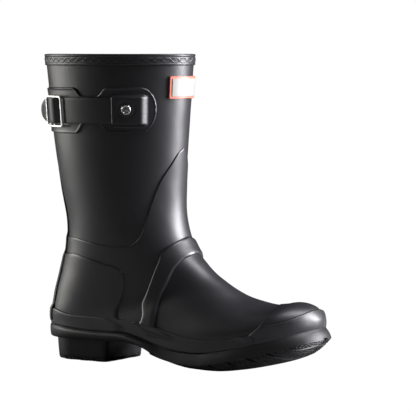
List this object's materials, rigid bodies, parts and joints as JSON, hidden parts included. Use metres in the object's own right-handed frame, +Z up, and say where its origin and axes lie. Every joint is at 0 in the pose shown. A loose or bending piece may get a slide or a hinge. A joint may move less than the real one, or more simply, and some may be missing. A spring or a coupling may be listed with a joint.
{
  "type": "rubber rain boot",
  "caption": "Short rubber rain boot for the right foot, with layered rubber plies, a block heel, a treaded sole, a rolled rim, and an adjusting strap with buckle on its outer side.",
  "frame": {"origin": "middle of the heel's resting face on the ground", "axes": "+X to the toe, +Z up the leg, +Y to the inner side of the leg (the buckle is on -Y)"},
  "size_m": [0.3023, 0.1146, 0.3004],
  "materials": {
    "upper_rubber": "matt moulded",
    "strap_rubber": "matt, finely textured",
    "sole_rubber": "matt moulded",
    "lining_knit": "fine knit",
    "label_red": "satin",
    "label_white": "satin",
    "bright_metal": "polished",
    "board": "pressed fibre",
    "foam": "open foam",
    "cover_knit": "knit",
    "shank_steel": "rolled",
    "filler": "sponge"
  },
  "bodies": {
    "boot": {"lining": "lining_knit", "base_sheet": "upper_rubber", "vamp_overlay": "upper_rubber", "heel_counter": "upper_rubber", "instep_band": "upper_rubber", "toe_cap": "upper_rubber", "rand": "upper_rubber", "toe_guard": "upper_rubber", "back_strip": "upper_rubber", "rim_binding": "upper_rubber", "label_frame": "label_red", "label_plate": "label_white", "strap_base": "upper_rubber", "strap": "strap_rubber", "strap_cap": "upper_rubber", "strap_rivet": "bright_metal", "rivet_washer": "bright_metal", "buckle_chape": "upper_rubber", "insole_board": "board", "outsole": "sole_rubber", "shank": "shank_steel", "heel_block": "sole_rubber", "heel_core": "filler", "heel_tread": "sole_rubber", "forefoot_tread": "sole_rubber"},
    "buckle": {"buckle_frame": "bright_metal"},
    "loose_footbed": {"footbed": "foam", "footbed_cover": "cover_knit"}
  },
  "joints": [
    {"name": "buckle_rock", "type": "hinge", "parent": "boot", "child": "buckle", "pos_m": [-0.01546, -0.04564, 0.24438], "axis": [-0.0349, -0.0683, 0.9971], "range_deg": [-2.5, 2.5]},
    {"name": "footbed_lift", "type": "hinge", "parent": "boot", "child": "loose_footbed", "pos_m": [0.23, 0.008, 0.047], "axis": [0, 1, 0], "range_deg": [0, 8]}
  ]
}
